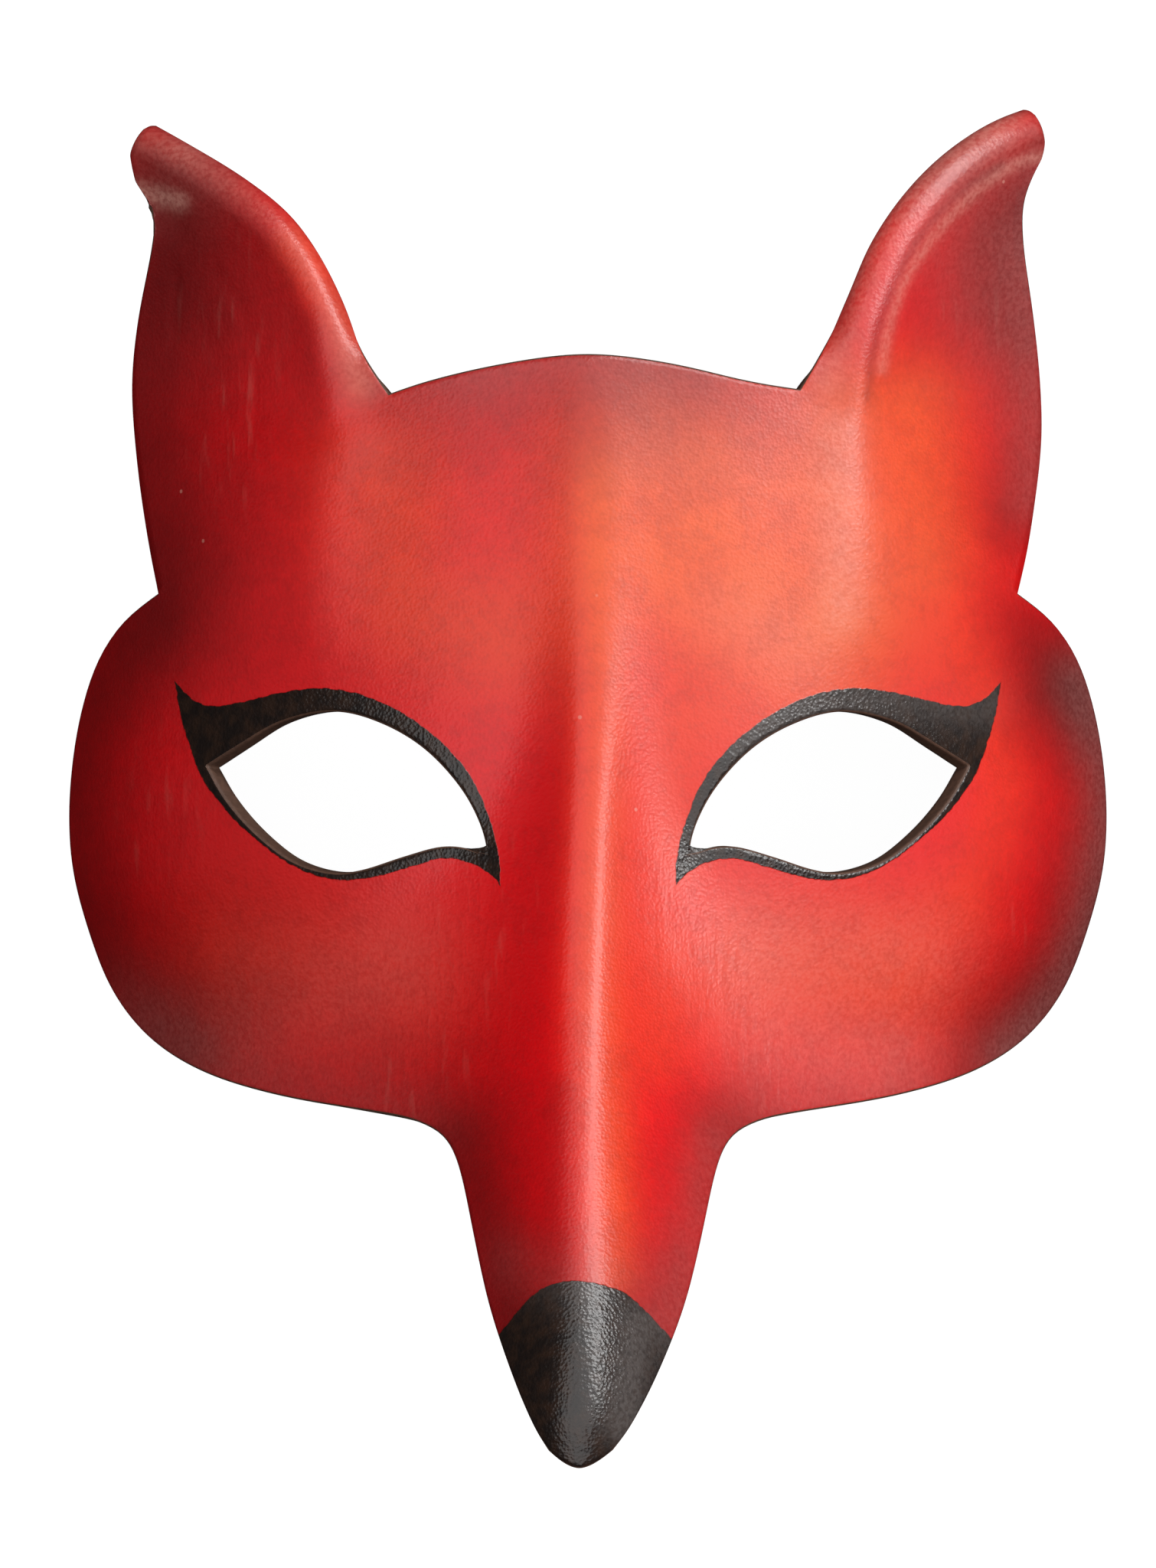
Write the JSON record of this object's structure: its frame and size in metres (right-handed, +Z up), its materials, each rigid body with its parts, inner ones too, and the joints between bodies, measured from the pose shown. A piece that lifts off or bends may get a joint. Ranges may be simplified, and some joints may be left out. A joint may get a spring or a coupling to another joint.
{
  "type": "fox mask",
  "caption": "Fox half mask moulded from one piece of leather, with a long nose, eye holes and upright ears with rolled edges.",
  "frame": {"origin": "middle of the bounding box, on the surface that the mask lies on", "axes": "+X across the face to the wearer's left as seen from in front, +Y from the nose to the ears, +Z up out of the face"},
  "size_m": [0.1578, 0.202, 0.0876],
  "materials": {
    "dyed_leather": "satin dyed leather, black nose and eye lines"
  },
  "bodies": {
    "root": {"leather_mask": "dyed_leather"}
  },
  "joints": []
}
